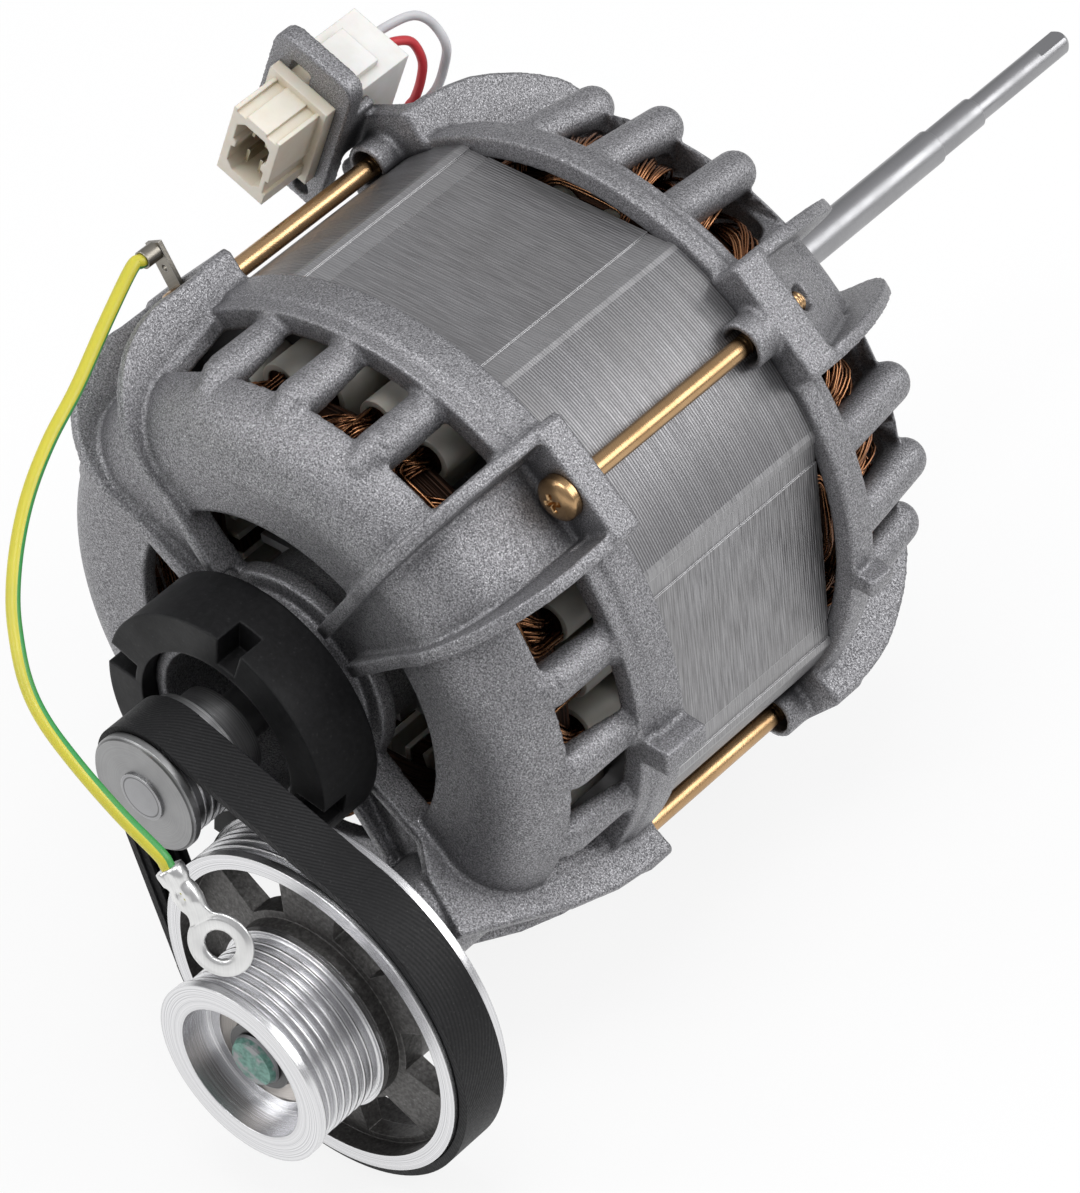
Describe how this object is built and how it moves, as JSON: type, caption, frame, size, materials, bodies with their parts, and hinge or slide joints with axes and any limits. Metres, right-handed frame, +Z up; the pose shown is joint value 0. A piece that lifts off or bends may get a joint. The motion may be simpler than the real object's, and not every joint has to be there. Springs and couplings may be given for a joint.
{
  "type": "belt drive induction motor",
  "caption": "Caged induction motor with a long rear shaft end, a ribbed motor pulley, a short ribbed belt and a double pulley on a lay shaft.",
  "frame": {"origin": "on the shaft axis, at the middle of the rubber mounting ring", "axes": "+Y along the shaft towards its long rear end, +Z up, +X to the right seen from the pulley end"},
  "size_m": [0.1225, 0.2457, 0.1222],
  "materials": {
    "casting": "cast, speckled satin",
    "lamination": "stacked sheet edges",
    "liner": "matt",
    "copper": "enamelled copper",
    "rotor_steel": "turned",
    "rotor_cast": "cast",
    "shaft_steel": "ground",
    "bearing_steel": "ground",
    "ball_steel": "polished",
    "cover_steel": "pressed",
    "rubber": "matt",
    "pulley_steel": "turned",
    "disc_steel": "turned, dull",
    "belt": "matt, fabric-like",
    "pulley_aluminium": "turned bright",
    "spindle_steel": "turned, with a green paint mark",
    "bolt_brass": "yellow passivated steel",
    "tinned": "tinned",
    "earth_wire": "green and yellow",
    "bright_tin": "bright tinned",
    "connector_cream": "moulded",
    "connector_white": "moulded",
    "contact": "tinned",
    "lead_red": "red",
    "lead_grey": "pale grey"
  },
  "bodies": {
    "stator_side": {"front_shield": "casting", "rear_shield": "casting", "stator_core": "lamination", "slot_liners": "liner", "winding_body": "copper", "winding_front": "copper", "winding_rear": "copper", "bearing_outers": "bearing_steel", "bearing_covers": "cover_steel", "rubber_ring": "rubber", "drive_belt": "belt", "lay_inners": "bearing_steel", "lay_shaft": "spindle_steel", "lay_spacer": "bearing_steel", "lay_washer": "cover_steel", "tie_bolts": "bolt_brass", "earth_tab": "tinned", "earth_sleeve": "tinned", "earth_wire": "earth_wire", "ring_terminal": "bright_tin", "connector_socket": "connector_cream", "connector_plug": "connector_white", "contacts": "contact", "lead_red": "lead_red", "lead_grey": "lead_grey"},
    "rotor": {"shaft": "shaft_steel", "rotor_core": "rotor_steel", "rotor_rings": "rotor_cast", "bearing_inners": "bearing_steel", "motor_pulley": "pulley_steel", "pulley_disc": "disc_steel"},
    "motor_balls": {"bearing_balls": "ball_steel"},
    "lay_pulley": {"double_pulley": "pulley_aluminium", "lay_outers": "bearing_steel", "lay_covers": "cover_steel"},
    "lay_ball_set": {"lay_balls": "ball_steel"}
  },
  "joints": [
    {"name": "rotor_spin", "type": "hinge", "parent": "stator_side", "child": "rotor", "pos_m": [0, 0, 0], "axis": [0, 1, 0], "continuous": true},
    {"name": "lay_pulley_spin", "type": "hinge", "parent": "stator_side", "child": "lay_pulley", "pos_m": [0.02871, 0, -0.03079], "axis": [0, 1, 0], "continuous": true},
    {"name": "motor_balls_spin", "type": "hinge", "parent": "stator_side", "child": "motor_balls", "pos_m": [0, 0, 0], "axis": [0, 1, 0], "continuous": true},
    {"name": "lay_balls_spin", "type": "hinge", "parent": "stator_side", "child": "lay_ball_set", "pos_m": [0.02871, 0, -0.03079], "axis": [0, 1, 0], "continuous": true}
  ],
  "couplings": [
    {"joint": "lay_pulley_spin", "follows": "rotor_spin", "ratio": 0.3378},
    {"joint": "motor_balls_spin", "follows": "rotor_spin", "ratio": 0.3684},
    {"joint": "lay_balls_spin", "follows": "rotor_spin", "ratio": 0.2137}
  ]
}
